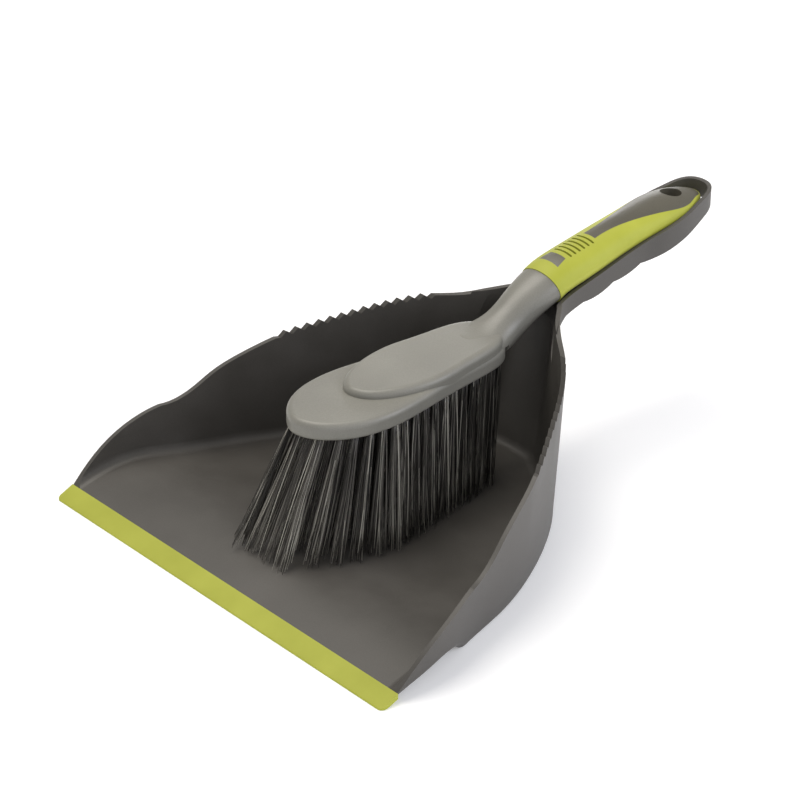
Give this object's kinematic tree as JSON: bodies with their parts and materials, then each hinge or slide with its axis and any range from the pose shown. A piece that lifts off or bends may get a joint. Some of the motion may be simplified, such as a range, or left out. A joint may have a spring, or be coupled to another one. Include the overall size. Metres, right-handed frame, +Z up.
{
  "type": "dustpan and brush",
  "caption": "Hand dustpan with raised walls, a soft lip and a channel handle, holding a tufted hand brush with a soft grip.",
  "frame": {"origin": "on the ground at the middle of the set's plan box", "axes": "+Y from the pan's lip towards the handles, +Z up, +X to the right seen from the lip's back"},
  "size_m": [0.23, 0.32, 0.1086],
  "materials": {
    "pan_plastic": "moulded dark grey polypropylene, fine satin grain",
    "soft_rubber": "soft lime-green thermoplastic rubber, satin",
    "brush_plastic": "moulded warm grey polypropylene, satin",
    "bristle": "dark synthetic filament with flagged tips",
    "anchor_wire": "flat drawn steel wire"
  },
  "bodies": {
    "dustpan": {"pan": "pan_plastic", "lip_strip": "soft_rubber"},
    "brush": {"brush_body": "brush_plastic", "grip": "soft_rubber", "tuft_anchors": "anchor_wire", "tuft_row_01": "bristle", "tuft_row_02": "bristle", "tuft_row_03": "bristle", "tuft_row_04": "bristle", "tuft_row_05": "bristle", "tuft_row_06": "bristle", "tuft_row_07": "bristle", "tuft_row_08": "bristle", "tuft_row_09": "bristle", "tuft_row_10": "bristle", "tuft_row_11": "bristle", "tuft_row_12": "bristle", "tuft_row_13": "bristle", "tuft_row_14": "bristle", "tuft_row_15": "bristle", "tuft_row_16": "bristle", "tuft_row_17": "bristle"}
  },
  "joints": [
    {"name": "brush_lift", "type": "slide", "parent": "dustpan", "child": "brush", "axis": [0, 0, 1], "range_m": [0, 0.12]}
  ]
}
